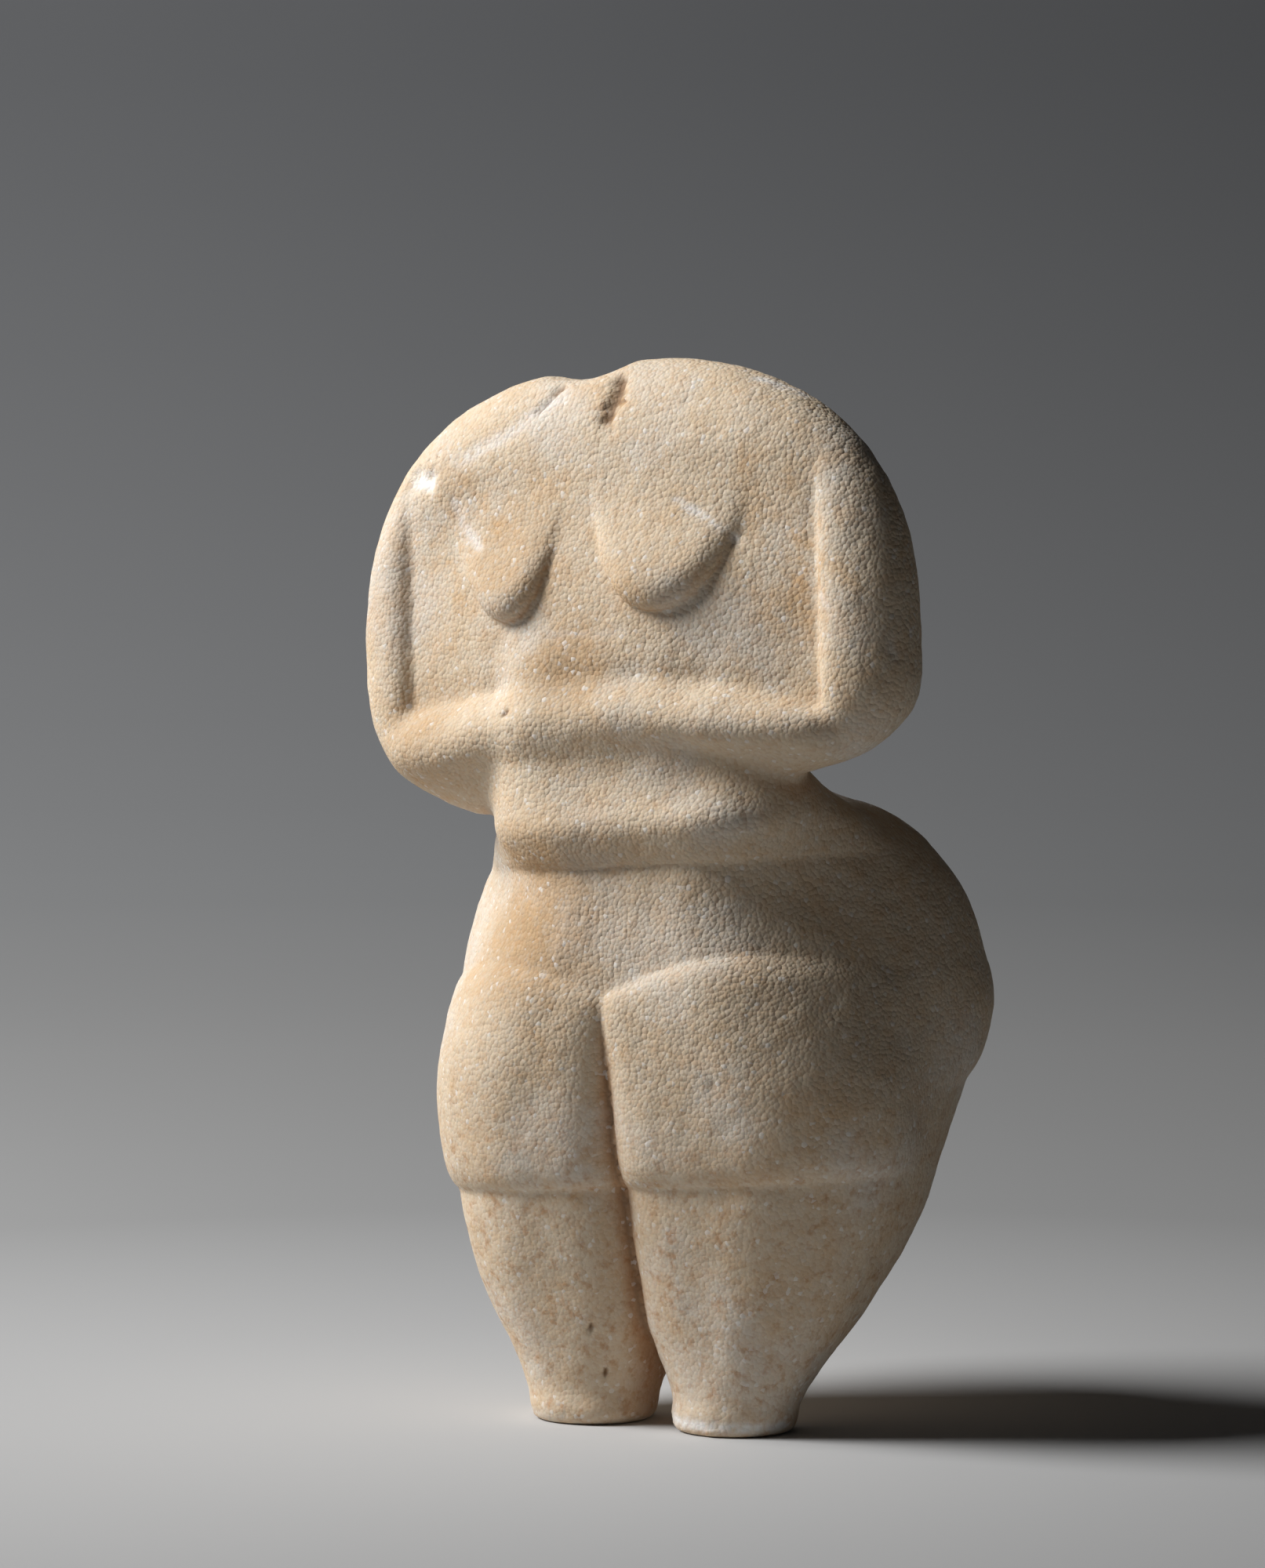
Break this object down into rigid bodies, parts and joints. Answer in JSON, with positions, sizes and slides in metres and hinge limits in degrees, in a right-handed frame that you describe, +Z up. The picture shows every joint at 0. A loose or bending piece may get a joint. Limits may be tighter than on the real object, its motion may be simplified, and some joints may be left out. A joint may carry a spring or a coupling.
{
  "type": "cycladic figurine",
  "caption": "Standing female figurine of marble with folded arms, broad hips and stub feet, headless, broken at the neck; stands on its own soles.",
  "frame": {"origin": "middle of the figure's box, on the ground under the soles", "axes": "+Z up, the figure faces -Y, its left side is on +X"},
  "size_m": [0.1316, 0.0836, 0.216],
  "materials": {
    "marble": null
  },
  "bodies": {
    "root": {"figurine": "marble"}
  },
  "joints": []
}
